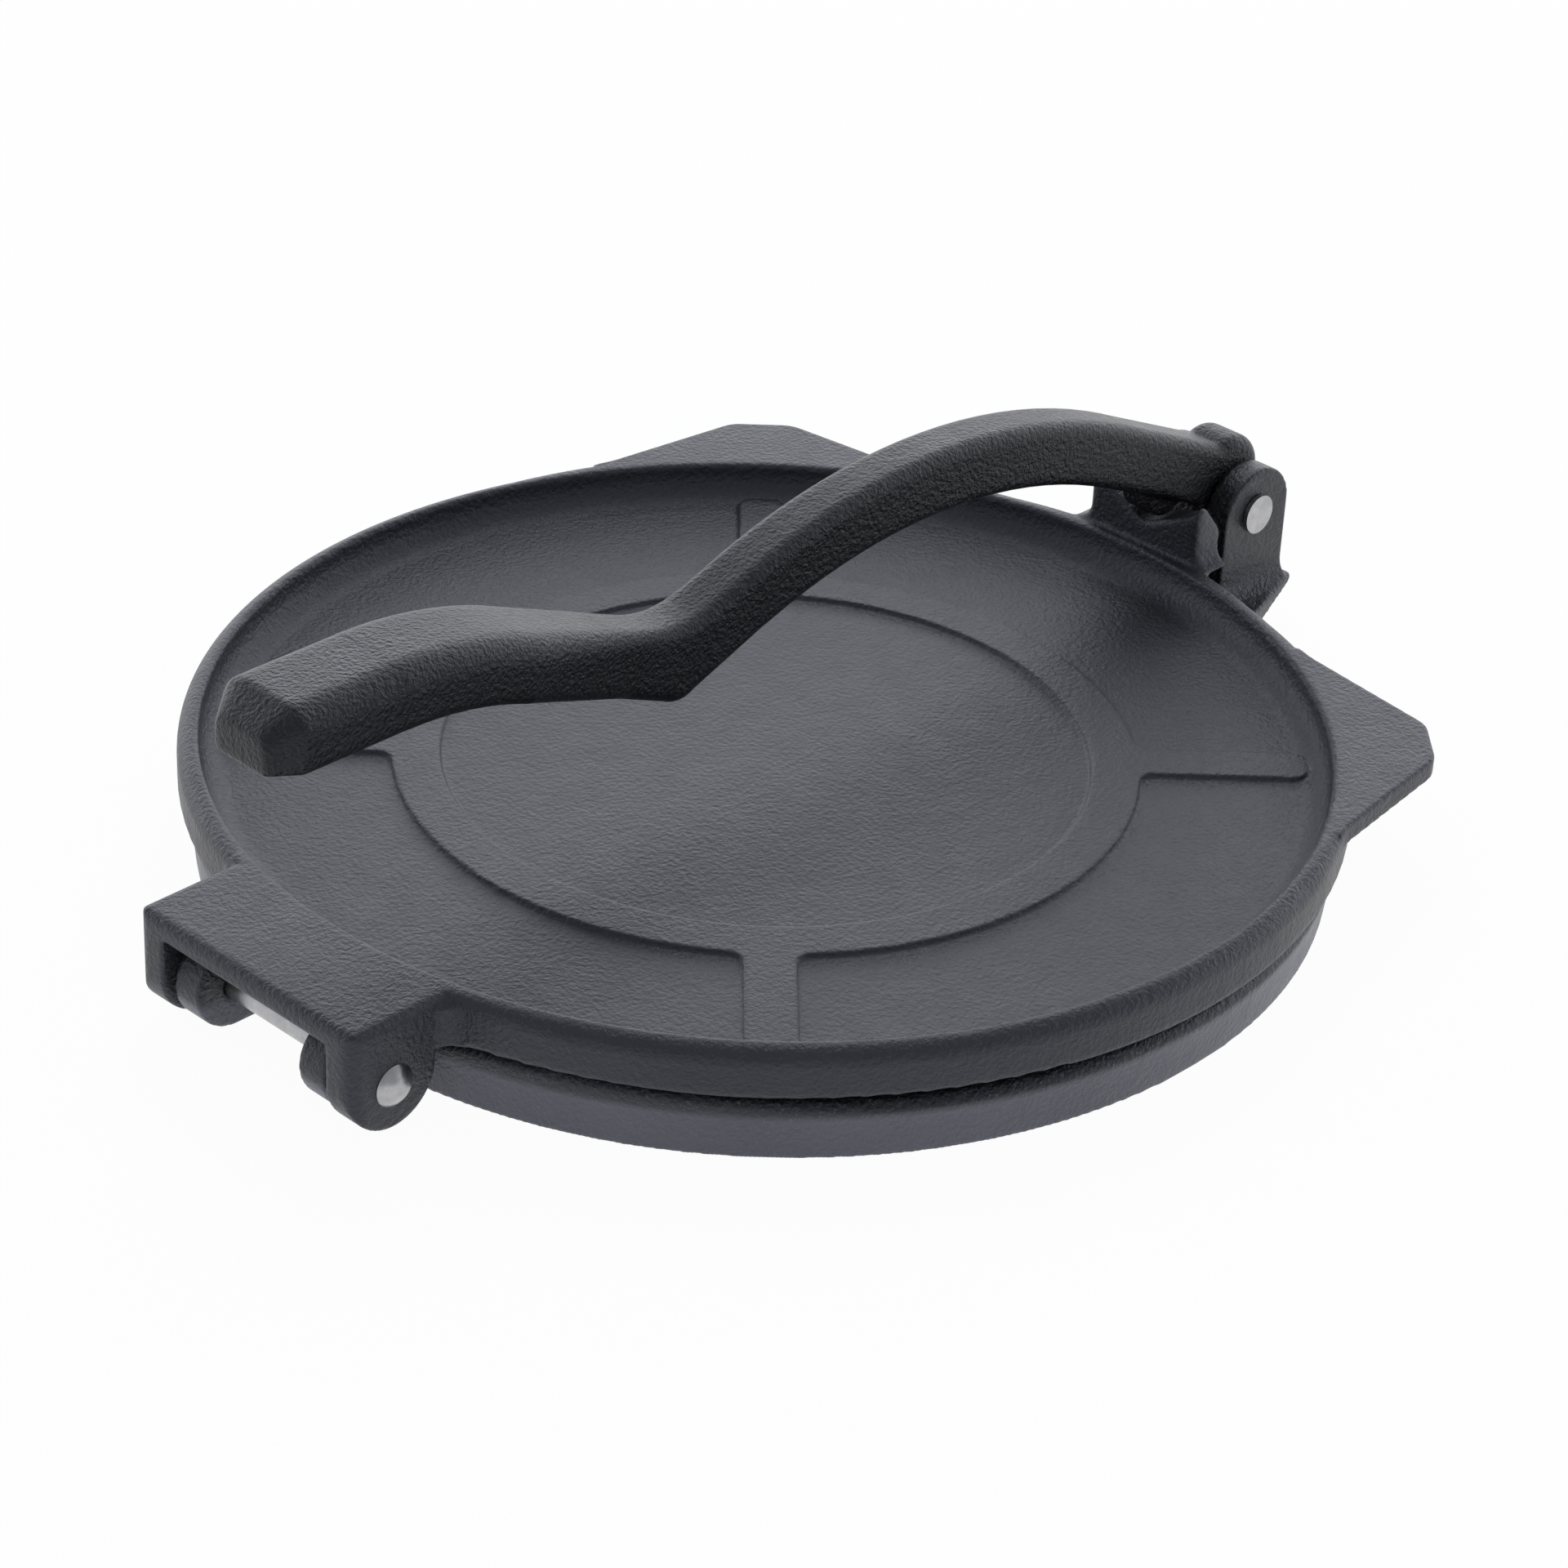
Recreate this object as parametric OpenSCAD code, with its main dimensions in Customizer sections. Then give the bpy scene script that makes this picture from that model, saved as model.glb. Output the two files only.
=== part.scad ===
// Cast iron tortilla press: a round base and a dished top plate on a rod hinge,
// closed by an S-shaped lever that presses on a saddle at the rim.
// X runs from the hinge to the lever pin, Y runs along both pins and Z is up.
// The origin is under the centre of the plates, on the table.

/* [Plates] */
// Outer radius of the top plate's rim
top_r = 133.5; // [115:0.5:160]
// How far the base stays inside the top plate's rim
base_inset = 1.9; // [1:0.1:4]
// How far the base skirt tapers in at the table
base_draft = 1.7; // [0:0.1:4]
// Height of the base's pressing face
base_h = 16.6; // [13:0.2:20]
// Gap between the two pressing faces
press_gap = 0.3; // [0.2:0.1:1]
// Height of the top plate, from pressing face to rim
dish_h = 12; // [9:0.5:16]
// Thickness of the dish floor in the middle and in the panels
floor_t = 3.4; // [2.5:0.1:5]
// Width of the rim
rim_w = 5; // [4:0.1:8]
// Rounding of the rim's outer top edge
rim_round = 2.2; // [0.5:0.1:2.5]
// Rounding of the rim's inner top edge
rim_inner_round = 0.9; // [0.2:0.1:1.5]
// Hollow between the rim and the dish floor
cove_r = 7; // [3:0.2:7.4]

/* [Dish relief] */
// Inner radius of the raised ring
ring_r_in = 74.3; // [50:0.5:78]
// Outer radius of the raised ring
ring_r_out = 85.4; // [82:0.2:92]
// Width of the four ribs
rib_w = 11.5; // [6:0.5:20]
// Height of the ring and the ribs above the dish floor
relief_h = 1.2; // [0.5:0.1:1.6]
// Rounding of the ribs' ends and of their roots at the ring
relief_r = 3.5; // [1:0.5:5]
// Distance from the ribs' ends to the rim's inner wall
rib_stop = 4.5; // [2.5:0.1:6]

/* [Ears] */
// Reach of an ear outside the rim
ear_reach = 18.5; // [14.5:0.5:24]
// Half the width of an ear's flat end
ear_tip_half = 5; // [2:0.5:9]
// Rounding of an ear's two corners
ear_tip_r = 8; // [4:0.5:10]
// Direction that an ear's side faces, from its middle line
ear_side_a = 37.6; // [34:0.2:42]
// Hollow where an ear's side leaves the rim
ear_root_r = 20; // [8:1:30]
// Thickness of the ears and of the hinge tab
flange_t = 5; // [4:0.2:7]

/* [Hinge] */
// Distance of the hinge rod's axis outside the top plate's rim
hinge_gap = 10; // [8:0.5:13]
// Height of the hinge rod's axis
hinge_z = 13; // [12:0.2:13]
// Radius of the hinge rod
rod_r = 3; // [2.5:0.1:3.5]
// Outer radius of the base's knuckles
knuckle_r = 10; // [7.5:0.2:10]
// Gap between the two knuckles
knuckle_gap = 31.4; // [24:0.2:34]
// Width of one knuckle
knuckle_w = 8.5; // [6:0.1:9]
// Side play between a knuckle and its cheek
cheek_play = 1.8; // [0.3:0.1:2.5]
// Thickness of one of the top plate's cheeks
cheek_w = 8.5; // [6:0.1:12]
// Radius of a cheek's rounded lower end
cheek_r = 11.5; // [9:0.1:11.5]
// Height of that round end's middle above the rod's axis
cheek_rise = 1; // [0.6:0.1:2]
// Distance that the hinge tab reaches past the rod's axis
tab_reach = 11.5; // [9:0.5:13]
// Rounding of the tab's two corners
tab_corner_r = 4; // [1:0.5:6]
// Rounding of the tab's top edges
tab_round = 2.4; // [0.5:0.1:3]
// Hollow between the hinge block and the rim
block_root_r = 6; // [2:0.5:10]
// Radius of the domed caps on the rod's ends
cap_r = 4.9; // [4.7:0.1:7]
// Height of a cap
cap_h = 2.4; // [2:0.1:4]

/* [Lever bracket] */
// Distance of the lever pin's axis outside the top plate's rim
pin_gap = 24; // [22.5:0.5:26.5]
// Height of the lever pin's axis
pin_z = 33.8; // [32.8:0.2:35]
// Radius of the lever pin
pin_r = 4; // [3:0.1:4.4]
// Radius and half width of the bracket's ears
bracket_r = 12.1; // [9:0.1:12.4]
// How far the ears' round top sits past the pin's axis and below it
bracket_shift = 0.6; // [0:0.1:1]
// Thickness of one of the bracket's ears
bracket_t = 7.2; // [5:0.1:9]
// Height of the upper face of the foot that carries the bracket
foot_h = 11.7; // [10:0.1:15]
// Height of the foot's lower face where it leaves the skirt
foot_low = 2.5; // [1:0.1:5]
// Thickness of the foot at its far end
foot_edge_t = 1.5; // [0.8:0.1:3]
// Reach of the foot past the lever pin's axis
foot_reach = 16.5; // [14.5:0.5:19]
// Half the width between the middles of the foot's round corners
foot_half = 13.4; // [12.4:0.1:15]
// Rounding of the foot's corners
foot_corner_r = 3; // [2:0.5:5]
// Direction that the foot's side faces, from its middle line
foot_side_a = 72.4; // [68:0.2:76]
// Hollow where the foot's side leaves the base
foot_root_r = 12; // [6:1:20]
// Hollow at the foot of the bracket ears' outer faces
bracket_cove = 5.7; // [2:0.1:7]
// Hollow at the foot of the bracket ears' far edges
bracket_end_cove = 3; // [1:0.1:3.6]
// Radius of the lever pin's flat head
pin_head_r = 5; // [4.8:0.1:7]
// Thickness of the lever pin's flat head
pin_head_t = 1.2; // [0.8:0.1:3]
// Radius of the retaining washer on the pin's other end
clip_r = 6.6; // [6:0.1:8]
// Thickness of the retaining washer
clip_t = 1.2; // [0.8:0.1:2]

/* [Saddle] */
// Distance of the saddle wall's inner face inside the rim's outer edge
saddle_in = 2.5; // [1.6:0.1:3.5]
// Half the width of the saddle wall along the rim
saddle_half = 17; // [16:0.5:20]
// Hollow where the saddle wall's ends meet the rim
saddle_end_cove = 4; // [1:0.5:5]
// Height of the saddle's horns above the rim
horn_h = 15.3; // [14:0.1:17]
// Rounding of the horns' inner top edge
horn_top_r = 2.3; // [1:0.1:3]
// Reach of the saddle wall's outer bulge outside the rim
bulge_out = 7.5; // [6:0.1:7.8]
// Height of the bulge's middle above the rim
bulge_h = 5.6; // [4:0.1:7]
// Radius of the bulge
bulge_r = 4; // [3:0.1:4.5]
// Slope of the wall's outer face from the bulge down to the neck, off the vertical
neck_a = 15; // [10:1:20]
// Reach of the neck outside the rim
neck_out = 5.1; // [4:0.1:5.5]
// Depth of the neck below the rim's top
neck_drop = 3.9; // [3:0.1:4.5]
// Height of the bottom of the saddle's hollow above the rim
saddle_h = 6.3; // [5.6:0.1:7]
// Slope of the hollow's two sides
notch_a = 27; // [20:1:29]
// Radius of the hollow's bottom
notch_r = 4; // [2:0.5:8]
// Half the width of the hollow
notch_half = 15.5; // [13:0.5:15.5]

/* [Lever] */
// Width of the lever's arm and hub
arm_w = 13.8; // [10:0.2:16]
// Depth of the lever's arm
arm_t = 16.2; // [13:0.2:17]
// Rounding of the arm's long edges
arm_round = 3.2; // [1:0.1:4]
// Radius of the hub round the pin
hub_r = 12; // [10:0.1:12.4]
// Radius of the hump over the hub
hump_r = 10; // [9:0.1:10.4]
// Height of the hump's middle above the pin
hump_h = 7.4; // [6:0.1:7.6]
// Distance from the pin to the arm's inner end in the hub
arm_start = 7.4; // [6:0.1:8]
// Distance from the pin to the crest of the arch
arch_dx = 114; // [108:0.5:120]
// Height of the arch's middle line above the pin
arch_h = 41.7; // [40:0.1:44]
// Radius of the arch
arch_r = 166; // [158:1:174]
// Slope of the arm beside the hub
arch_a = 25; // [24:0.5:26]
// Slope of the arm between the arch and the dip
fall_a = 19; // [17:0.5:21]
// Length of the straight stretch between the arch and the dip
fall_l = 11.9; // [6:0.1:18]
// Radius of the dip
dip_r = 36; // [28:1:44]
// How far the knee under the dip hangs below the corner of the arm's middle lines
knee_drop = 0.6; // [0:0.1:2]
// Length of the knee's fairing into the widening stretch
knee_l = 12; // [6:0.5:20]
// Slope of the arm between the dip and the grip
rise_a = 22; // [20:0.5:24]
// Length of the widening stretch between the dip and the grip
rise_l = 37.8; // [30:0.2:44]
// Radius of the bend at the start of the grip
grip_bend_r = 104; // [90:1:120]
// Slope of the grip
grip_a = 0.5; // [0:0.5:3]
// Length of the straight stretch of the grip
grip_l = 27; // [20:0.5:34]
// Width of the grip
grip_w = 26; // [20:0.5:30]
// Depth of the grip
grip_t = 15.2; // [12:0.2:16.6]
// Rounding of the grip's two upper edges
grip_round = 6.5; // [4:0.1:7]
// Length of the grip's bevelled end
tip_l = 7; // [4:0.2:10]
// Width of the grip's end face
tip_w = 16; // [12:0.5:20]
// Height of the grip's end face as a share of the grip's depth
tip_share = 0.6; // [0.4:0.05:0.7]
// How far the end face's middle lies below the grip's middle line
tip_drop = 2.7; // [0:0.1:3]
// Distance of the heel's middle outside the saddle's inner face
heel_in = 3.3; // [2.5:0.1:3.6]
// Radius of the heel that presses on the saddle
heel_r = 7; // [5:0.2:8]
// Width of the heel
heel_w = 9; // [6:0.5:12]

/* [Castings] */
// Thickness of the base's top under the pressing face
base_t = 6.4; // [5:0.2:8]
// Thickness of the skirt round the base
skirt_t = 7; // [5:0.2:9]
// Number of ribs under the base
under_ribs = 6; // [3:1:8]
// Thickness of a rib under the base
under_rib_t = 5; // [4:0.2:7]
// Height of the ribs' lower edge above the table
under_rib_z = 4; // [2:0.5:8]
// Radius of the middle foot where the ribs meet
boss_r = 14; // [10:0.5:20]
// Rounding of the base's top edge
base_round = 4.4; // [0.5:0.1:5.5]
// Rounding of the top plate's lower edge
edge_round = 1.3; // [0.4:0.1:2]

/* [Fits] */
// Radial clearance of a pin in a hole that turns on it
running_fit = 0.08; // [0.03:0.01:0.1]
// Radial clearance of a pin in a hole that holds it
tight_fit = 0.02; // [0.01:0.01:0.04]
// Clearance between faces that slide past each other
side_gap = 0.3; // [0.2:0.1:0.6]

/* [Hidden] */

plate_z = base_h + press_gap;
top_z = plate_z + dish_h;
floor_z = plate_z + floor_t;
rim_in = top_r - rim_w;
rib_end = rim_in - rib_stop;
ear_end = top_r + ear_reach;
flange_z = top_z - flange_t;
base_r = top_r - base_inset;
base_foot_r = base_r - base_draft;
hinge_x = top_r + hinge_gap;
pin_x = top_r + pin_gap;

knuckle_in = knuckle_gap / 2;
knuckle_out = knuckle_in + knuckle_w;
cheek_in = knuckle_out + cheek_play;
cheek_out = cheek_in + cheek_w;
cheek_z = hinge_z + cheek_rise;
tab_end = hinge_x + tab_reach;
cap_depth = 0.4 * cap_h;
rod_half = cheek_out + cap_depth;

bracket_in = arm_w / 2 + side_gap;
bracket_out = bracket_in + bracket_t;
bracket_cx = pin_x + bracket_shift;
bracket_cz = pin_z - bracket_shift;
foot_end = pin_x + foot_reach;

saddle_z = top_z + saddle_h;
horn_z = top_z + horn_h;
saddle_x = top_r - saddle_in;
notch_side = [notch_r * sin(notch_a), saddle_z + notch_r * (1 - cos(notch_a))];
heel_x = saddle_x + heel_in - pin_x;
heel_z = notch_z(heel_w / 2) + side_gap + heel_r;

$fn = 96;
steel = [0.8, 0.8, 0.82];
iron = [0.2, 0.2, 0.22];
dark_iron = [0.24, 0.24, 0.26];
lever_iron = [0.28, 0.28, 0.3];
over = 1; // overshoot of cuts past a face
sink = 0.6; // overlap of a bar or a loft with the bent bars beside it
slim = 0.1; // how much slimmer it is than they are

// Height of the saddle's hollow at distance y from its middle, on one of its sloping sides
function notch_z(y) = notch_side[1] + (y - notch_side[0]) * tan(notch_a);

// Point at distance r in direction a
function polar(r, a) = [r * cos(a), r * sin(a)];

// ---------- shared shapes ----------

// Cuts a convex corner at the origin to radius r; the material lies at -x, -y
module corner_cut(r) {
    translate([-r, -r]) difference() {
        square(r + over);
        circle(r);
    }
}

// Fills a hollow corner at the origin to radius r; the free space lies at +x, +y
module corner_fill(r) {
    difference() {
        translate([-over, -over]) square(r + over);
        translate([r, r]) circle(r);
    }
}

// Rectangle about the origin, with its lower corners rounded to r and its upper ones to r_top
module round_rect(w, h, r, r_top) {
    difference() {
        square([w, h], center = true);
        for (sx = [0, 1]) mirror([sx, 0]) {
            translate([w / 2, h / 2]) corner_cut(r_top);
            mirror([0, 1]) translate([w / 2, h / 2]) corner_cut(r);
        }
    }
}

// Plan of a lug along +x that grows from a disc: straight sides that face the
// angle side_a, a flat end with round corners, and hollows where it leaves the disc
module lug(disc_r, side_a, reach, tip_half, tip_r, root_r) {
    n = polar(1, side_a);
    tip = [reach - tip_r, tip_half];
    side_d = n * tip + tip_r;
    root_a = side_a - acos((side_d + root_r) / (disc_r + root_r));
    root = polar(disc_r + root_r, root_a);
    inner = polar(disc_r - over, root_a);
    upper = [inner, root, root - root_r * n, tip + tip_r * n, [reach, tip_half]];
    lower = [for (i = [len(upper) - 1:-1:0]) [upper[i][0], -upper[i][1]]];
    difference() {
        union() {
            polygon(concat(upper, lower));
            for (s = [-1, 1]) translate([tip[0], s * tip[1]]) circle(tip_r);
        }
        for (s = [-1, 1]) translate([root[0], s * root[1]]) circle(root_r);
    }
}

// Extrudes an x-z outline along y, between two values of y
module along_y(y0, y1) {
    translate([0, y1, 0]) rotate([90, 0, 0]) linear_extrude(y1 - y0) children();
}

// Cylinder along y at x, z
module y_cylinder(x, z, r, y0, y1) {
    translate([x, y0, z]) rotate([-90, 0, 0]) cylinder(r = r, h = y1 - y0);
}

// The same thing on both sides of the x-z plane
module both_sides() {
    children();
    mirror([0, 1, 0]) children();
}

// ---------- top plate ----------

// Half section of the dish and its rim
module dish_section() {
    difference() {
        union() {
            translate([0, plate_z]) square([top_r, floor_t]);
            translate([rim_in, plate_z]) square([rim_w, dish_h]);
            translate([rim_in, floor_z]) mirror([1, 0]) corner_fill(cove_r);
        }
        translate([top_r, top_z]) corner_cut(rim_round);
        translate([rim_in, top_z]) mirror([1, 0]) corner_cut(rim_inner_round);
        translate([top_r, plate_z]) mirror([0, 1]) corner_cut(edge_round);
    }
}

// One rib's plan along +x, with hollows at the ring and round corners at its end
module rib_plan() {
    h = rib_w / 2;
    f = relief_r;
    root_x = sqrt(pow(ring_r_out + f, 2) - pow(h + f, 2));
    root_a = atan2(h + f, root_x);
    difference() {
        translate([0, -h]) square([rib_end, rib_w]);
        for (s = [0, 1]) mirror([0, s]) translate([rib_end, h]) corner_cut(f);
    }
    for (s = [0, 1]) mirror([0, s]) difference() {
        polygon([[root_x, 0], [root_x, h + f], polar(ring_r_out - over, root_a), [ring_r_out - over, 0]]);
        translate([root_x, h + f]) circle(f);
    }
}

// Raised ring on the dish floor, with four ribs that run into the hollow of the rim
module dish_relief() {
    translate([0, 0, floor_z - over]) linear_extrude(relief_h + over) difference() {
        union() {
            circle(ring_r_out);
            for (a = [45:90:315]) rotate(a) rib_plan();
        }
        circle(ring_r_in);
    }
}

// Two thin ears, flush with the rim's top
module ears() {
    difference() {
        translate([0, 0, flange_z]) linear_extrude(flange_t)
            for (a = [-45, 45]) rotate(a)
                lug(top_r, ear_side_a, ear_end, ear_tip_half, ear_tip_r, ear_root_r);
        translate([0, 0, flange_z - over]) cylinder(r = rim_in + rim_w / 2, h = flange_t + 2 * over);
    }
}

// Plan of the hinge block
module block_plan() {
    rotate(180) lug(top_r, 90, tab_end, cheek_out - tab_corner_r, tab_corner_r, block_root_r);
}

// Side outline of the hinge block, rounded along its outer top edge
module block_side() {
    difference() {
        translate([-tab_end, flange_z]) square([tab_end - rim_in, flange_t]);
        translate([-tab_end, top_z]) mirror([1, 0]) corner_cut(tab_round);
    }
}

// Side outline of a cheek: round below the rod, joined to the rim above the base
module cheek_side() {
    translate([-hinge_x, cheek_z]) circle(cheek_r);
    translate([-tab_end, cheek_z]) square([tab_reach + cheek_r, flange_z + over - cheek_z]);
    translate([-tab_end, plate_z]) square([tab_end - rim_in, flange_z + over - plate_z]);
}

// End outline of the hinge block, rounded along its two top edges
module block_end() {
    translate([-cheek_out, 0]) difference() {
        square([2 * cheek_out, top_z]);
        translate([2 * cheek_out, top_z]) corner_cut(tab_round);
        translate([0, top_z]) mirror([1, 0]) corner_cut(tab_round);
    }
}

// Hollows between the sides of the hinge block and the rim
module block_roots() {
    intersection() {
        translate([0, 0, plate_z]) linear_extrude(dish_h - rim_round) block_plan();
        both_sides() translate([-hinge_x, cheek_out - over, 0])
            cube([hinge_x - rim_in * 0.9, block_root_r + over, top_z]);
    }
}

// The hinge tab with its two cheeks
module hinge_block() {
    intersection() {
        union() {
            along_y(-cheek_out, cheek_out) block_side();
            both_sides() along_y(cheek_in, cheek_out) cheek_side();
        }
        linear_extrude(top_z) block_plan();
        translate([-tab_end - over, 0, 0]) rotate([90, 0, 90]) linear_extrude(tab_end) block_end();
    }
    block_roots();
}

// Section of the saddle wall: flat inside, bulging outside over a neck that runs into the rim
module saddle_section() {
    crown = [saddle_x + horn_top_r, horn_z - horn_top_r];
    bulge = [top_r + bulge_out - bulge_r, top_z + bulge_h];
    neck = [top_r + neck_out, top_z - neck_drop];
    d = bulge - crown;
    brow_a = atan2(d[1], d[0]) + acos((horn_top_r - bulge_r) / norm(d));
    translate(crown) circle(horn_top_r);
    translate(bulge) circle(bulge_r);
    polygon([[saddle_x, crown[1]], crown, crown + polar(horn_top_r, brow_a), bulge + polar(bulge_r, brow_a),
             bulge, bulge + polar(bulge_r, -neck_a), neck, [saddle_x, neck[1] + saddle_x - neck[0]]]);
}

// End view of the saddle wall, hollowed for the lever's heel
module saddle_face() {
    difference() {
        translate([-saddle_half, plate_z]) square([2 * saddle_half, horn_z - plate_z]);
        translate([0, saddle_z + notch_r]) circle(notch_r);
        both_sides_of_face() polygon([[-over, horn_z + over], [-over, notch_side[1]], notch_side,
                                      [notch_half, notch_z(notch_half)], [notch_half, horn_z + over]]);
    }
    both_sides_of_face() translate([saddle_half, top_z]) corner_fill(saddle_end_cove);
}

// The same outline on both sides of a vertical line
module both_sides_of_face() {
    for (s = [0, 1]) mirror([s, 0]) children();
}

// Saddle wall on the rim
module saddle() {
    end = saddle_half + saddle_end_cove + over;
    intersection() {
        along_y(-end, end) saddle_section();
        translate([saddle_x - over, 0, 0]) rotate([90, 0, 90]) linear_extrude(2 * saddle_half) saddle_face();
    }
}

module top_plate() {
    color(iron) difference() {
        union() {
            rotate_extrude() dish_section();
            dish_relief();
            ears();
            hinge_block();
            saddle();
        }
        y_cylinder(-hinge_x, hinge_z, rod_r + running_fit, -cheek_out - over, cheek_out + over);
    }
}

// ---------- base ----------

// Half section of the base: pressing face and tapered skirt, hollow below
module base_section() {
    difference() {
        polygon([[0, 0], [base_foot_r, 0], [base_r, base_h], [0, base_h]]);
        translate([base_r, base_h]) corner_cut(base_round);
        translate([0, -over]) square([base_foot_r - skirt_t, base_h - base_t + over]);
    }
}

// Ribs and a middle foot under the pressing face
module base_ribs() {
    cylinder(r = boss_r, h = base_h - base_t + over);
    for (i = [0:under_ribs - 1]) rotate((i + 0.5) * 360 / under_ribs)
        translate([0, -under_rib_t / 2, under_rib_z])
            cube([base_foot_r - skirt_t + over, under_rib_t, base_h - base_t - under_rib_z + over]);
}

// Side outline of a knuckle: a round nose on an arm from the skirt
module knuckle_side() {
    translate([-hinge_x, hinge_z]) circle(knuckle_r);
    translate([-hinge_x, hinge_z - knuckle_r])
        square([hinge_x - base_foot_r + skirt_t / 2, base_h - hinge_z + knuckle_r]);
}

module knuckles() {
    both_sides() along_y(knuckle_in, knuckle_out) knuckle_side();
}

// Plan of the foot that carries the bracket
module foot_plan() {
    lug(base_foot_r, foot_side_a, foot_end, foot_half, foot_corner_r, foot_root_r);
}

// Side outline of the foot, which thins from the skirt to its end
module foot_side() {
    polygon([[0, foot_low], [base_foot_r, foot_low], [foot_end, foot_h - foot_edge_t],
             [foot_end + over, foot_h - foot_edge_t], [foot_end + over, foot_h], [0, foot_h]]);
}

// Side outline of a bracket ear
module bracket_side() {
    translate([bracket_cx, bracket_cz]) circle(bracket_r);
    translate([bracket_cx - bracket_r, foot_h - over]) square([2 * bracket_r, bracket_cz - foot_h + over]);
}

// Two ears for the lever pin, on a foot that juts out of the skirt
module bracket() {
    difference() {
        intersection() {
            linear_extrude(foot_h) foot_plan();
            along_y(-base_r, base_r) foot_side();
        }
        translate([0, 0, -over]) cylinder(r = base_foot_r - skirt_t, h = foot_h + 2 * over);
    }
    both_sides() along_y(bracket_in, bracket_out) bracket_side();
    intersection() {
        both_sides() {
            translate([bracket_cx - bracket_r, bracket_out, foot_h])
                rotate([90, 0, 90]) linear_extrude(2 * bracket_r) corner_fill(bracket_cove);
            along_y(bracket_in, bracket_out)
                translate([bracket_cx + bracket_r, foot_h]) corner_fill(bracket_end_cove);
        }
        linear_extrude(pin_z) foot_plan();
    }
}

module base_plate() {
    color(dark_iron) difference() {
        union() {
            rotate_extrude() base_section();
            base_ribs();
            knuckles();
            bracket();
        }
        y_cylinder(-hinge_x, hinge_z, rod_r + tight_fit, -knuckle_out - over, knuckle_out + over);
        y_cylinder(pin_x, pin_z, pin_r + tight_fit, -bracket_out - over, bracket_out + over);
    }
}

// ---------- lever, drawn about its pin ----------

arch_centre = [-arch_dx, arch_h - arch_r];
arch_end = arch_centre + polar(arch_r, 90 - arch_a);
fall_start = arch_centre + polar(arch_r, 90 + fall_a);
fall_end = fall_start + polar(fall_l, 180 + fall_a);
dip_centre = fall_end + polar(dip_r, 90 + fall_a);
rise_start = dip_centre + polar(dip_r, 270 - rise_a);
rise_end = rise_start + polar(rise_l, 180 - rise_a);
bend_centre = rise_end + polar(grip_bend_r, 270 - rise_a);
grip_start = bend_centre + polar(grip_bend_r, 90 - grip_a);
knee_mid = fall_end + polar(dip_r * tan((fall_a + rise_a) / 2), 180 + fall_a) - [0, knee_drop];
knee_end = rise_start + polar(knee_l, 180 - rise_a);

// Straight bar from point p in direction a, in the x-z plane: a touch slimmer than
// the bent bars that it sinks into at both ends
module bar(p, a, length, w, t, r) {
    at = p + polar(-sink, a);
    translate([at[0], 0, at[1]]) rotate([0, -a, 0]) rotate([90, 0, 90])
        linear_extrude(length + 2 * sink) round_rect(w - slim, t - slim, r, r);
}

// Bar that bends round the centre c, between two directions from it; its outer side
// has its edges rounded to e_out
module bent_bar(c, r, a0, a1, w, t, e, e_out) {
    translate([c[0], 0, c[1]]) rotate([90, 0, 0]) rotate(a0) rotate_extrude(angle = a1 - a0)
        translate([r, 0]) rotate(-90) round_rect(w, t, e, e_out);
}

// Disc along y with round edges
module soft_disc(r, w, e) {
    rotate([90, 0, 0]) rotate_extrude() intersection() {
        round_rect(2 * r, w, e, e);
        translate([0, -w]) square([r, 2 * w]);
    }
}

// Arm from the hub, over the arch and down into the dip
module lever_arm() {
    bar(arch_end, -arch_a, (-arm_start - arch_end[0]) / cos(arch_a), arm_w, arm_t, arm_round);
    bent_bar(arch_centre, arch_r, 90 - arch_a, 90 + fall_a, arm_w, arm_t, arm_round, arm_round);
    bar(fall_start, 180 + fall_a, fall_l, arm_w, arm_t, arm_round);
    bent_bar(dip_centre, dip_r, 270 - rise_a, 270 + fall_a, arm_w, arm_t, arm_round, arm_round);
}

// Knee that fills the outside of the dip: its lower side turns in a tight round
module lever_knee() {
    translate([knee_mid[0], 0, knee_mid[1]]) soft_disc(arm_t / 2, arm_w + slim, arm_round);
    for (end = [fall_start, knee_end])
        bar(knee_mid, atan2(end[1] - knee_mid[1], end[0] - knee_mid[0]), norm(end - knee_mid),
            arm_w, arm_t, arm_round);
}

// Thin slice of a bar that rises to -x at slope a, at distance d past point p, for a loft
module slice(p, a, d, w, t, r, r_top) {
    at = p + polar(d, 180 - a);
    translate([at[0], 0, at[1]]) rotate([0, a, 0]) rotate([90, 0, 90])
        linear_extrude(0.01) round_rect(w - slim, t - slim, r, r_top, $fn = 32);
}

// Widening stretch, grip and its bevelled end
module lever_grip() {
    hull() {
        slice(rise_start, rise_a, -sink, arm_w, arm_t, arm_round, arm_round);
        slice(rise_end, rise_a, sink, grip_w, grip_t, arm_round, grip_round);
    }
    bent_bar(bend_centre, grip_bend_r, 90 - rise_a, 90 - grip_a, grip_w, grip_t, arm_round, grip_round);
    hull() {
        slice(grip_start, grip_a, -sink, grip_w, grip_t, arm_round, grip_round);
        slice(grip_start, grip_a, grip_l, grip_w, grip_t, arm_round, grip_round);
        slice(grip_start - [0, tip_drop], grip_a, grip_l + tip_l, tip_w, grip_t * tip_share,
              arm_round / 2, grip_round / 2);
    }
}

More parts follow.
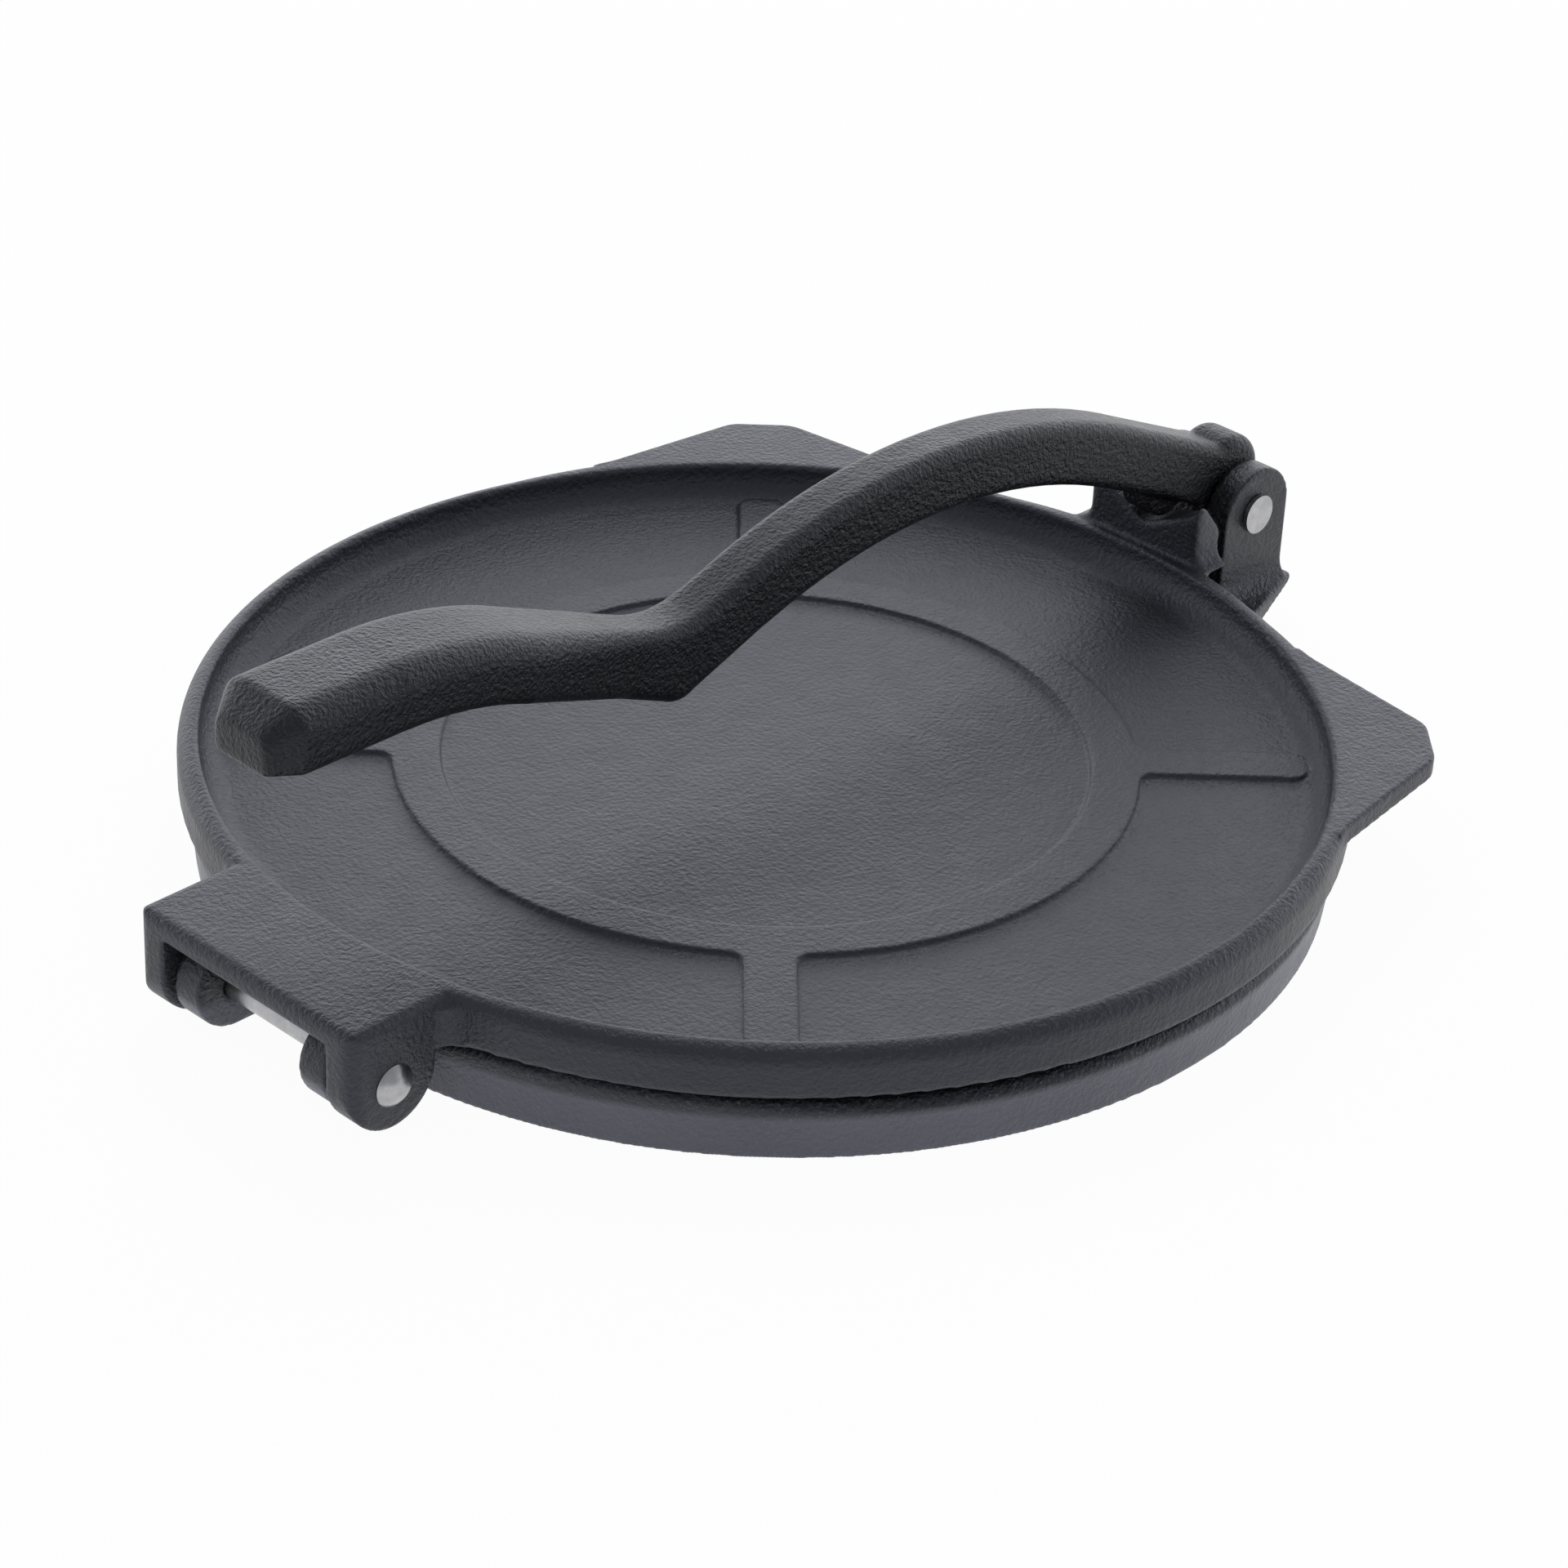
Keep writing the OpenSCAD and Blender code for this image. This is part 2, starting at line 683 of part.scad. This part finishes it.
module lever() {
    color(lever_iron) difference() {
        union() {
            translate([pin_x, 0, pin_z]) {
                soft_disc(hub_r, arm_w, arm_round);
                translate([0, 0, hump_h]) soft_disc(hump_r, arm_w, arm_round);
                lever_arm();
                lever_knee();
                lever_grip();
            }
            y_cylinder(pin_x + heel_x, heel_z, heel_r, -heel_w / 2, heel_w / 2);
        }
        y_cylinder(pin_x, pin_z, pin_r + running_fit, -arm_w, arm_w);
    }
}

// ---------- pins ----------

module hinge_rod() {
    color(steel) y_cylinder(-hinge_x, hinge_z, rod_r, -rod_half, rod_half);
}

// Domed cap pressed over the rod's end
module hinge_cap(side) {
    dome_r = (cap_r * cap_r + cap_h * cap_h) / (2 * cap_h);
    color(steel) translate([-hinge_x, side * (cheek_out + 0.1), hinge_z]) rotate([-90 * side, 0, 0])
        difference() {
            intersection() {
                translate([0, 0, cap_h - dome_r]) sphere(dome_r);
                cylinder(r = cap_r, h = cap_h);
            }
            translate([0, 0, -over]) cylinder(r = rod_r + tight_fit, h = cap_depth + over);
        }
}

module hinge_cap_near() { hinge_cap(-1); }

module hinge_cap_far() { hinge_cap(1); }

// Pin with a flat round head on the near side
module lever_pin() {
    pin_end = bracket_out + 0.1 + clip_t + 1;
    color(steel) {
        y_cylinder(pin_x, pin_z, pin_r, -bracket_out - 0.1, pin_end);
        y_cylinder(pin_x, pin_z, pin_head_r, -bracket_out - 0.1 - pin_head_t, -bracket_out - 0.1);
    }
}

module lever_pin_washer() {
    color(steel) difference() {
        y_cylinder(pin_x, pin_z, clip_r, bracket_out + 0.1, bracket_out + 0.1 + clip_t);
        y_cylinder(pin_x, pin_z, pin_r + tight_fit, bracket_out, bracket_out + clip_t + over);
    }
}

base_plate();
top_plate();
lever();
hinge_rod();
hinge_cap_near();
hinge_cap_far();
lever_pin();
lever_pin_washer();
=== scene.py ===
import bpy
import numpy as np
from mathutils import Matrix, Vector


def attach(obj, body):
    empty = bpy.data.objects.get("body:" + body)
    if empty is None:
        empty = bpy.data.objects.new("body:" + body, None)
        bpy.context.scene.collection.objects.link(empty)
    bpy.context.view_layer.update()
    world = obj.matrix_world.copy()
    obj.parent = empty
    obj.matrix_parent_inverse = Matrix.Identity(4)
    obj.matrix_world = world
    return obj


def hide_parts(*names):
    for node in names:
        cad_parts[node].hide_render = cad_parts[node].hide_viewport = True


MM = 0.001

# Camera, fitted to the photograph's rims, hinge and pins
CAMERA_AT = Vector((-0.64562, -0.60465, 0.54201))
CAMERA_RIGHT = Vector((0.69747, -0.71539, 0.04187))
CAMERA_UP = Vector((0.34307, 0.38463, 0.85695))
CAMERA_AHEAD = Vector((0.62916, 0.58333, -0.51370))
SENSOR_MM = 36.0
FOCAL_MM = 103.125

# Light: a plain studio, with walls that are brighter behind the object. The walls' extra
# level falls off with the height of a direction, and from back to front with its reach
# along WALL_SIDE. Each line is where a change begins and ends, then what it goes from and to.
STUDIO_LEVEL = 0.48
STUDIO_COLOUR = (0.94, 0.955, 1.0, 1.0)
WALL_SIDE = (0.73, 0.68, 0.0)
WALL_FALL = (0.12, 0.56, 2.30, 0.0)
WALL_TURN = (-0.40, 0.60, 0.0, 1.0)
# The big soft lamp high behind the object
LAMP_AT = (0.72, 0.66, 1.25)
LAMP_SIZE = 0.9
LAMP_POWER = 7.0
# The floor's half width, its white, and how much of its look is its own even white
FLOOR_HALF = 6.0
FLOOR_WHITE = 0.95
FLOOR_GLOW = 0.96

# Iron: the tint of its own colour and of its sheen, and where its base casting turns
# from the skirt's tone, raised as painted light, to the darker one of the bracket and of its
# upper edge; on that edge the darker tone is painted shade, under the top plate's overhang
IRON_TINT = (0.92, 0.94, 1.15)
SPECULAR_TINT = (0.85, 0.87, 1.0, 1.0)
BRACKET_FROM_TO = (0.130, 0.140)
EDGE_SHADE_FROM_TO = (0.0100, 0.0118)
# Its noise, in cycles a metre, and the height of its broadest swell
PATCH_SCALE = 18.0
SWELL_SCALE = 60.0
MOTTLE_SCALE = 140.0
GRAIN_SCALE = 1500.0
SWELL_HEIGHT = 0.30 * MM

# Steel: its darker and lighter grey, and its noise
STEEL_GREYS = ((0.38, 0.38, 0.39), (0.50, 0.50, 0.51))
STAIN_SCALE = 260.0
MARK_SCALE = 900.0
MARK_HEIGHT = 0.02 * MM

# Castings: the skin is rebuilt at this voxel size, laid back on the solid, and its edges
# are softened
VOXEL = {"top_plate": 0.55 * MM, "base_plate": 0.65 * MM, "lever": 0.5 * MM}
SOFTEN = {"top_plate": 6, "base_plate": 6, "lever": 8}
FACES_KEPT = {"top_plate": 195000, "base_plate": 195000, "lever": 120000}

# The top plate's rim: its outer and top faces, and the round between them
RIM_R = 133.5 * MM
RIM_TOP = 28.9 * MM
RIM_ROUND = 4.3 * MM
# A direction's rim is bare where nothing reaches further out than this past it, and the
# round fades in over this many degrees beside what is cast on to the rim
RIM_PLAY = 0.3 * MM
RIM_FADE_DEG = 5
# The base's upper edge hangs this much lower away from the hinge, which opens the seam. Each
# pair is where the drop begins and where it is full: in degrees from the bracket, along X
# from the hinge, outwards, and upwards.
SEAM_DROP = 2.0 * MM
SEAM_TURN_DEG = (14.0, 22.0)
SEAM_X = (-125.0 * MM, -60.0 * MM)
SEAM_R = (121.0 * MM, 127.0 * MM)
SEAM_Z = (6.0 * MM, 15.0 * MM)

# Softer zones, each from where it begins to where it is full, and the extra rounds there
SADDLE_WALL_X = (126.0 * MM, 129.0 * MM)
SADDLE_WALL_Z = (28.5 * MM, 30.5 * MM)
SADDLE_FOOT_X = (129.5 * MM, 132.0 * MM)
SADDLE_FOOT_Z = (20.0 * MM, 23.0 * MM)
SADDLE_ROUNDS = 22
TIP_X = (-151.0 * MM, -145.0 * MM)
TIP_ROUNDS = 40


def shade_smooth(obj):
    """Smooth shading on every face."""
    obj.data.polygons.foreach_set("use_smooth", [True] * len(obj.data.polygons))


def bake(obj):
    """Applies the object's modifiers to its mesh, in place."""
    depsgraph = bpy.context.evaluated_depsgraph_get()
    mesh = bpy.data.meshes.new_from_object(obj.evaluated_get(depsgraph))
    obj.modifiers.clear()
    obj.data = mesh


def ramp(value, start, end):
    """Smooth step from 0 at start to 1 at end."""
    t = np.clip((value - start) / (end - start), 0.0, 1.0)
    return t * t * (3.0 - 2.0 * t)


def points(mesh):
    """The mesh's points as an array."""
    co = np.empty(3 * len(mesh.vertices), np.float32)
    mesh.vertices.foreach_get("co", co)
    return co.reshape(-1, 3).astype(np.float64)


# ---------- materials ----------

def tinted(tone):
    """Blue-grey at this tone."""
    return tuple(tone * part for part in IRON_TINT)


class Tree:
    """A short way to write a node material."""

    def __init__(self, name):
        self.material = bpy.data.materials.new(name)
        self.material.use_nodes = True
        self.nodes = self.material.node_tree.nodes
        self.links = self.material.node_tree.links
        self.shader = self.nodes["Principled BSDF"]
        self.place = self.add("ShaderNodeTexCoord").outputs["Object"]

    def add(self, kind, **values):
        node = self.nodes.new(kind)
        for key, value in values.items():
            if key in node.inputs:
                node.inputs[key].default_value = value
            else:
                setattr(node, key, value)
        return node

    def link(self, source, target):
        self.links.new(source, target)

    def noise(self, scale, detail=2.0, roughness=0.5, stretch=None):
        node = self.add("ShaderNodeTexNoise")
        node.inputs["Scale"].default_value = scale
        node.inputs["Detail"].default_value = detail
        node.inputs["Roughness"].default_value = roughness
        place = self.place
        if stretch:
            mapping = self.add("ShaderNodeMapping")
            mapping.inputs["Scale"].default_value = stretch
            self.link(self.place, mapping.inputs["Vector"])
            place = mapping.outputs["Vector"]
        self.link(place, node.inputs["Vector"])
        return node.outputs["Fac"]

    def span(self, source, low, high, to_low=0.0, to_high=1.0):
        node = self.add("ShaderNodeMapRange")
        ends = {"From Min": low, "From Max": high, "To Min": to_low, "To Max": to_high}
        for socket, value in ends.items():
            node.inputs[socket].default_value = value
        self.link(source, node.inputs["Value"])
        return node.outputs["Result"]

    def mix(self, factor, a, b):
        node = self.add("ShaderNodeMix", data_type="RGBA")
        self.link(factor, node.inputs["Factor"])
        for socket, value in ((node.inputs[6], a), (node.inputs[7], b)):
            if isinstance(value, tuple):
                socket.default_value = (*value, 1.0)
            else:
                self.link(value, socket)
        return node.outputs[2]

    def math(self, operation, a, b):
        node = self.add("ShaderNodeMath", operation=operation)
        for socket, value in zip(node.inputs, (a, b)):
            if isinstance(value, (int, float)):
                socket.default_value = value
            else:
                self.link(value, socket)
        return node.outputs[0]

    def bump(self, height, distance, normal=None):
        node = self.add("ShaderNodeBump")
        node.inputs["Distance"].default_value = distance
        node.inputs["Strength"].default_value = 1.0
        self.link(height, node.inputs["Height"])
        if normal is not None:
            self.link(normal, node.inputs["Normal"])
        return node.outputs["Normal"]


def cast_iron(name, tone, shine, gloss, grain_mm, pebble_mm, pebble_scale, bracket_and_shade_tone=None):
    """Seasoned sand-cast iron: a near-black, blue-grey satin skin with a fine sand grain.

    tone is the brightness of its colour, shine the strength of its sheen and gloss the
    least roughness. grain_mm and pebble_mm are the heights of the sand's finer and coarser
    marks, and pebble_scale the coarser ones' cycles a metre. On the base, tone is set high
    as painted light on the skirt. The last argument is the tone of the bracket beyond the rim
    and of the base's upper edge; on that edge it is painted shade, under the top plate's overhang.
    """
    t = Tree(name)
    patches = t.noise(PATCH_SCALE, 3.0, 0.55)
    mottle = t.noise(MOTTLE_SCALE, 4.0, 0.6)
    grain = t.noise(GRAIN_SCALE, 3.0, 0.65)
    pebble = t.noise(pebble_scale, 2.0, 0.5)
    swell = t.noise(SWELL_SCALE, 2.0, 0.5)
    colour = t.mix(t.span(patches, 0.35, 0.65), tinted(tone), tinted(tone * 1.3))
    if bracket_and_shade_tone is not None:
        place = t.add("ShaderNodeSeparateXYZ")
        t.link(t.place, place.inputs[0])
        # Painted shade: the base's upper edge, under the top plate's overhang, turns to the darker
        # tone, as does the bracket beyond the rim
        edge_shade = t.span(place.outputs["Z"], *EDGE_SHADE_FROM_TO)
        far = t.math("MAXIMUM", t.span(place.outputs["X"], *BRACKET_FROM_TO), edge_shade)
        colour = t.mix(far, colour, tinted(bracket_and_shade_tone))
    colour = t.mix(t.span(grain, 0.60, 0.80, 0.0, 0.6), colour, tinted(tone * 3.0))
    t.link(colour, t.shader.inputs["Base Color"])
    t.shader.inputs["Specular IOR Level"].default_value = shine
    t.shader.inputs["Specular Tint"].default_value = SPECULAR_TINT
    worn = t.span(mottle, 0.3, 0.7, gloss, gloss + 0.07)
    oiled = t.span(patches, 0.3, 0.7, -0.02, 0.03)
    t.link(t.math("ADD", worn, oiled), t.shader.inputs["Roughness"])
    normal = t.bump(swell, SWELL_HEIGHT)
    normal = t.bump(t.span(pebble, 0.3, 0.7), pebble_mm * MM, normal)
    normal = t.bump(t.span(grain, 0.25, 0.75), grain_mm * MM, normal)
    t.link(normal, t.shader.inputs["Normal"])
    return t.material


def steel(name, turned):
    """Bright turned steel with fine marks, stretched along the axis that turned makes small."""
    t = Tree(name)
    marks = t.noise(MARK_SCALE, 3.0, 0.6, turned)
    stain = t.noise(STAIN_SCALE, 3.0, 0.6)
    colour = t.mix(t.span(stain, 0.35, 0.7), *STEEL_GREYS)
    t.link(colour, t.shader.inputs["Base Color"])
    t.shader.inputs["Metallic"].default_value = 1.0
    t.link(t.span(marks, 0.3, 0.7, 0.24, 0.38), t.shader.inputs["Roughness"])
    t.link(t.bump(marks, MARK_HEIGHT), t.shader.inputs["Normal"])
    return t.material


# ---------- castings ----------

def round_rim(co):
    """A fuller round on the rim's outer edge, wherever nothing is cast on to the rim."""
    reach = np.hypot(co[:, 0], co[:, 1])
    turn = np.degrees(np.arctan2(co[:, 1], co[:, 0])).astype(int) % 360
    widest = np.zeros(360)
    np.maximum.at(widest, turn, reach)
    bare = (widest < RIM_R + RIM_PLAY).astype(float)
    beside = range(-RIM_FADE_DEG, RIM_FADE_DEG + 1)
    bare = np.min([np.roll(bare, k) for k in beside], axis=0)
    bare = np.mean([np.roll(bare, k) for k in beside], axis=0)[turn]
    out, up = reach - (RIM_R - RIM_ROUND), co[:, 2] - (RIM_TOP - RIM_ROUND)
    far = np.hypot(out, up)
    pull = np.where((out > 0) & (up > 0) & (far > RIM_ROUND), RIM_ROUND / np.maximum(far, MM), 1.0)
    pull = 1.0 + (pull - 1.0) * bare
    new_reach = np.where(pull < 1.0, RIM_R - RIM_ROUND + out * pull, reach)
    co[:, :2] *= (new_reach / np.maximum(reach, MM))[:, None]
    co[:, 2] = np.where(pull < 1.0, RIM_TOP - RIM_ROUND + up * pull, co[:, 2])


def open_seam(co):
    """The base's upper edge, lower where the seam between the plates stands open."""
    reach = np.hypot(co[:, 0], co[:, 1])
    turn = np.degrees(np.arctan2(np.abs(co[:, 1]), co[:, 0]))
    side = ramp(turn, *SEAM_TURN_DEG) * ramp(co[:, 0], *SEAM_X)
    edge = ramp(reach, *SEAM_R) * ramp(co[:, 2], *SEAM_Z)
    co[:, 2] -= SEAM_DROP * side * edge


def saddle_zone(co):
    """Where the saddle's wall gets softer edges."""
    wall = ramp(co[:, 0], *SADDLE_WALL_X) * ramp(co[:, 2], *SADDLE_WALL_Z)
    foot = ramp(co[:, 0], *SADDLE_FOOT_X) * ramp(co[:, 2], *SADDLE_FOOT_Z)
    return np.maximum(wall, foot)


def tip_zone(co):
    """Where the grip's end gets softer edges."""
    return 1.0 - ramp(co[:, 0], *TIP_X)


RESHAPE = {"top_plate": round_rim, "base_plate": open_seam}
SOFT_ZONE = {"top_plate": (saddle_zone, SADDLE_ROUNDS), "lever": (tip_zone, TIP_ROUNDS)}


def casting(node, body, material):
    """The casting's skin: the CAD solid remeshed, with every edge and corner softened."""
    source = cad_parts[node]
    skin = bpy.data.objects.new(node + "_skin", source.data.copy())
    bpy.context.scene.collection.objects.link(skin)
    remesh = skin.modifiers.new("remesh", "REMESH")
    remesh.mode = "VOXEL"
    remesh.voxel_size = VOXEL[node]
    remesh.adaptivity = 0.0
    lay = skin.modifiers.new("lay", "SHRINKWRAP")
    lay.target = source
    lay.wrap_method = "NEAREST_SURFACEPOINT"
    bake(skin)
    co = points(skin.data)
    if node in RESHAPE:
        RESHAPE[node](co)
        skin.data.vertices.foreach_set("co", co.astype(np.float32).ravel())
    soften = skin.modifiers.new("soften", "SMOOTH")
    soften.factor = 0.5
    soften.iterations = SOFTEN[node]
    if node in SOFT_ZONE:
        zone, iterations = SOFT_ZONE[node]
        group = skin.vertex_groups.new(name="soft")
        for index, weight in enumerate(zone(co)):
            if weight > 0.0:
                group.add((index,), float(weight), "REPLACE")
        more = skin.modifiers.new("more", "SMOOTH")
        more.factor = 0.5
        more.iterations = iterations
        more.vertex_group = "soft"
    bake(skin)
    triangles = 2 * len(skin.data.polygons)
    if triangles > FACES_KEPT[node]:
        thin = skin.modifiers.new("thin", "DECIMATE")
        thin.ratio = FACES_KEPT[node] / triangles
        bake(skin)
    skin.vertex_groups.clear()
    skin.data.materials.clear()
    skin.data.materials.append(material)
    shade_smooth(skin)
    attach(skin, body)
    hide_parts(node)
    return skin


# ---------- stage ----------

def make_camera():
    camera = bpy.data.objects.new("camera", bpy.data.cameras.new("camera"))
    bpy.context.scene.collection.objects.link(camera)
    turn = Matrix((CAMERA_RIGHT, CAMERA_UP, -CAMERA_AHEAD)).transposed()
    camera.matrix_world = Matrix.Translation(CAMERA_AT) @ turn.to_4x4()
    camera.data.sensor_width = SENSOR_MM
    camera.data.lens = FOCAL_MM
    camera.data.clip_start = 0.01
    camera.data.clip_end = 50.0
    bpy.context.scene.camera = camera


def make_world():
    """A studio that is brighter round the horizon than overhead, seen as plain white."""
    world = bpy.data.worlds.new("studio")
    bpy.context.scene.world = world
    world.use_nodes = True
    nodes, links = world.node_tree.nodes, world.node_tree.links
    light = nodes["Background"]
    direction = nodes.new("ShaderNodeTexCoord").outputs["Generated"]
    height = nodes.new("ShaderNodeSeparateXYZ")
    links.new(direction, height.inputs[0])
    reach = nodes.new("ShaderNodeVectorMath")
    reach.operation = "DOT_PRODUCT"
    reach.inputs[1].default_value = WALL_SIDE
    links.new(direction, reach.inputs[0])
    walls = nodes.new("ShaderNodeMath")
    walls.operation = "MULTIPLY"
    changes = ((height.outputs["Z"], WALL_FALL), (reach.outputs["Value"], WALL_TURN))
    for factor, (source, change) in zip(walls.inputs, changes):
        level = nodes.new("ShaderNodeMapRange")
        for socket, value in zip(("From Min", "From Max", "To Min", "To Max"), change):
            level.inputs[socket].default_value = value
        links.new(source, level.inputs["Value"])
        links.new(level.outputs["Result"], factor)
    total = nodes.new("ShaderNodeMath")
    total.operation = "ADD"
    total.inputs[1].default_value = STUDIO_LEVEL
    links.new(walls.outputs[0], total.inputs[0])
    links.new(total.outputs[0], light.inputs["Strength"])
    light.inputs["Color"].default_value = STUDIO_COLOUR
    white = nodes.new("ShaderNodeBackground")
    white.inputs["Color"].default_value = (1.0, 1.0, 1.0, 1.0)
    choose = nodes.new("ShaderNodeMixShader")
    links.new(nodes.new("ShaderNodeLightPath").outputs["Is Camera Ray"], choose.inputs["Fac"])
    links.new(light.outputs["Background"], choose.inputs[1])
    links.new(white.outputs["Background"], choose.inputs[2])
    links.new(choose.outputs["Shader"], nodes["World Output"].inputs["Surface"])


def make_floor():
    """White floor: it shows a faint shadow, and polished faces reflect it as white."""
    mesh = bpy.data.meshes.new("floor")
    corners = [(x * FLOOR_HALF, y * FLOOR_HALF, 0) for x, y in ((-1, -1), (1, -1), (1, 1), (-1, 1))]
    mesh.from_pydata(corners, [], [(0, 1, 2, 3)])
    floor = bpy.data.objects.new("floor", mesh)
    bpy.context.scene.collection.objects.link(floor)
    t = Tree("floor")
    t.shader.inputs["Base Color"].default_value = (FLOOR_WHITE, FLOOR_WHITE, FLOOR_WHITE, 1.0)
    t.shader.inputs["Roughness"].default_value = 0.9
    t.shader.inputs["Specular IOR Level"].default_value = 0.1
    glow = t.add("ShaderNodeEmission")
    path = t.add("ShaderNodeLightPath")
    seen = t.math("MAXIMUM", path.outputs["Is Camera Ray"], path.outputs["Is Glossy Ray"])
    choose = t.add("ShaderNodeMixShader")
    t.link(t.math("MULTIPLY", seen, FLOOR_GLOW), choose.inputs["Fac"])
    t.link(t.shader.outputs["BSDF"], choose.inputs[1])
    t.link(glow.outputs["Emission"], choose.inputs[2])
    t.link(choose.outputs["Shader"], t.nodes["Material Output"].inputs["Surface"])
    mesh.materials.append(t.material)


def area_light(name, at, aim, size, power):
    lamp = bpy.data.lights.new(name, "AREA")
    lamp.shape = "SQUARE"
    lamp.size = size
    lamp.energy = power
    holder = bpy.data.objects.new(name, lamp)
    holder.location = at
    holder.rotation_euler = (Vector(aim) - Vector(at)).to_track_quat("-Z", "Y").to_euler()
    bpy.context.scene.collection.objects.link(holder)


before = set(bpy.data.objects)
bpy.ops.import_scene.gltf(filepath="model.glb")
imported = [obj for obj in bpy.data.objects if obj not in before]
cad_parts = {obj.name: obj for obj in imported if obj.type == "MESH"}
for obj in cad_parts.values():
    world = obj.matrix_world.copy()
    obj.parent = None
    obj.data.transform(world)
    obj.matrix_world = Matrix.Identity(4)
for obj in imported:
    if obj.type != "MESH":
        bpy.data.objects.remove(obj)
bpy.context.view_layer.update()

iron_plate = cast_iron("cast_iron_plate", tone=0.022, shine=0.52, gloss=0.34,
                       grain_mm=0.12, pebble_mm=0.16, pebble_scale=800.0)
# The base's tone, far above the plate's, is painted light: it stands in for the white floor's light
# on the skirt. The darker tone is kept for the bracket and for the painted shade on its upper edge.
iron_base = cast_iron("cast_iron_base", tone=0.105, shine=0.60, gloss=0.34,
                      grain_mm=0.12, pebble_mm=0.16, pebble_scale=800.0, bracket_and_shade_tone=0.005)
iron_lever = cast_iron("cast_iron_lever", tone=0.004, shine=0.42, gloss=0.27,
                       grain_mm=0.20, pebble_mm=0.30, pebble_scale=950.0)
steel_pin = steel("steel_pin", (1.0, 0.05, 1.0))

casting("top_plate", "plate", iron_plate)
casting("base_plate", "base", iron_base)
casting("lever", "lever", iron_lever)
for node in ("hinge_rod", "hinge_cap_near", "hinge_cap_far", "lever_pin", "lever_pin_washer"):
    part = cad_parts[node]
    for slot in part.material_slots:
        slot.material = steel_pin

make_camera()
make_world()
make_floor()
area_light("softbox", LAMP_AT, (0, 0, 0), LAMP_SIZE, LAMP_POWER)

bpy.context.scene.view_settings.view_transform = "Standard"
